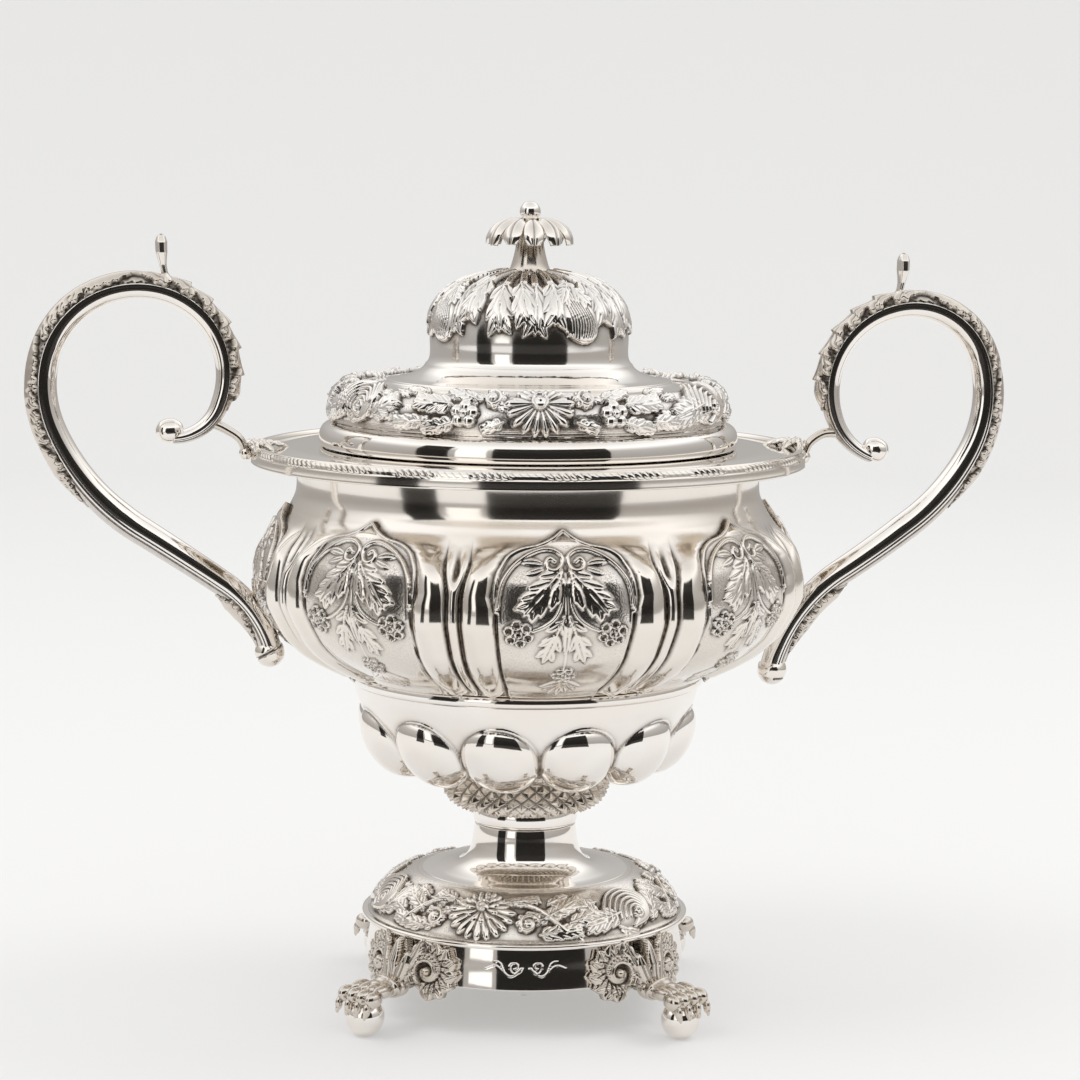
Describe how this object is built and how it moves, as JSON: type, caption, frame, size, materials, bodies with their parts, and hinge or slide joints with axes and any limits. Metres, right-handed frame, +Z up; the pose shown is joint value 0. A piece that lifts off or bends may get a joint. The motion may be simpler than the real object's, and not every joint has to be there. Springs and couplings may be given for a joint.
{
  "type": "covered sugar bowl",
  "caption": "Round silver sugar bowl with a lift-off domed lid, scroll handles, a lobed cup and a pedestal foot on claw-and-ball feet.",
  "frame": {"origin": "on the bowl's axis at table height, in the plane of the four ball feet", "axes": "+Z up through the finial, +X towards the right-hand handle, -Y towards the front of the bowl"},
  "size_m": [0.2826, 0.158, 0.2308],
  "materials": {
    "polished_silver": "polished",
    "chased_silver": "gloss"
  },
  "bodies": {
    "bowl": {"plinth": "polished_silver", "foot_moulding": "polished_silver", "foot_bracket_1": "chased_silver", "foot_paw_1": "chased_silver", "foot_ball_1": "polished_silver", "foot_bracket_2": "chased_silver", "foot_paw_2": "chased_silver", "foot_ball_2": "polished_silver", "foot_bracket_3": "chased_silver", "foot_paw_3": "chased_silver", "foot_ball_3": "polished_silver", "foot_bracket_4": "chased_silver", "foot_paw_4": "chased_silver", "foot_ball_4": "polished_silver", "foot_dome": "chased_silver", "foot_spool": "polished_silver", "stem_ring": "polished_silver", "knop_collar": "chased_silver", "bowl_cup": "chased_silver", "body_ring": "polished_silver", "bowl_body": "chased_silver", "rim_flange": "polished_silver", "rim_border": "chased_silver", "rim_leaf_right": "chased_silver", "handle_tube_right": "polished_silver", "handle_leafage_right": "chased_silver", "handle_foot_leaf_right": "chased_silver", "handle_ball_right": "polished_silver", "handle_end_right": "chased_silver", "handle_strut_right": "chased_silver", "thumb_piece_right": "chased_silver", "rim_leaf_left": "chased_silver", "handle_tube_left": "polished_silver", "handle_leafage_left": "chased_silver", "handle_foot_leaf_left": "chased_silver", "handle_ball_left": "polished_silver", "handle_end_left": "chased_silver", "handle_strut_left": "chased_silver", "thumb_piece_left": "chased_silver"},
    "lid_carriage": {"lid_bezel": "polished_silver"},
    "lid": {"lid_wall": "polished_silver", "lid_band": "chased_silver", "lid_shoulder": "polished_silver", "lid_dome": "chased_silver", "finial_stem": "chased_silver", "finial_flower": "chased_silver", "finial_ball": "polished_silver"}
  },
  "joints": [
    {"name": "lid_lift", "type": "slide", "parent": "bowl", "child": "lid_carriage", "axis": [0, 0, 1], "range_m": [0, 0.12]},
    {"name": "lid_turn", "type": "hinge", "parent": "lid_carriage", "child": "lid", "pos_m": [0, 0, 0.1614], "axis": [0, 0, 1], "continuous": true}
  ]
}
